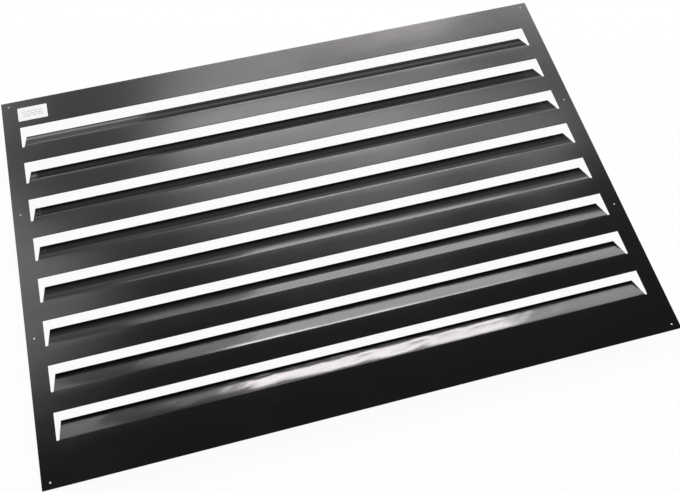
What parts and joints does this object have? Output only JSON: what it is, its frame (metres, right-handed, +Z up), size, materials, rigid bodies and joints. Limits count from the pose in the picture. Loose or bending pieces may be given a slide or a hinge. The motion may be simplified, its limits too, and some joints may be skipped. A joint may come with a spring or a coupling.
{
  "type": "louvred sheet metal panel",
  "caption": "Flat rectangular black sheet metal panel with a column of long louvres whose flaps are bent down behind it, small edge holes and a blank label.",
  "frame": {"origin": "under the centre of the panel, on the surface that its flaps' free edges lie on", "axes": "+X along the louvres to the right, +Y up the panel towards the label's edge, +Z up out of the plain face"},
  "size_m": [0.72, 0.506, 0.0158],
  "materials": {
    "coated_sheet": "satin",
    "label_paper": "matte"
  },
  "bodies": {
    "root": {"louvred_panel": "coated_sheet", "blank_label": "label_paper"}
  },
  "joints": []
}
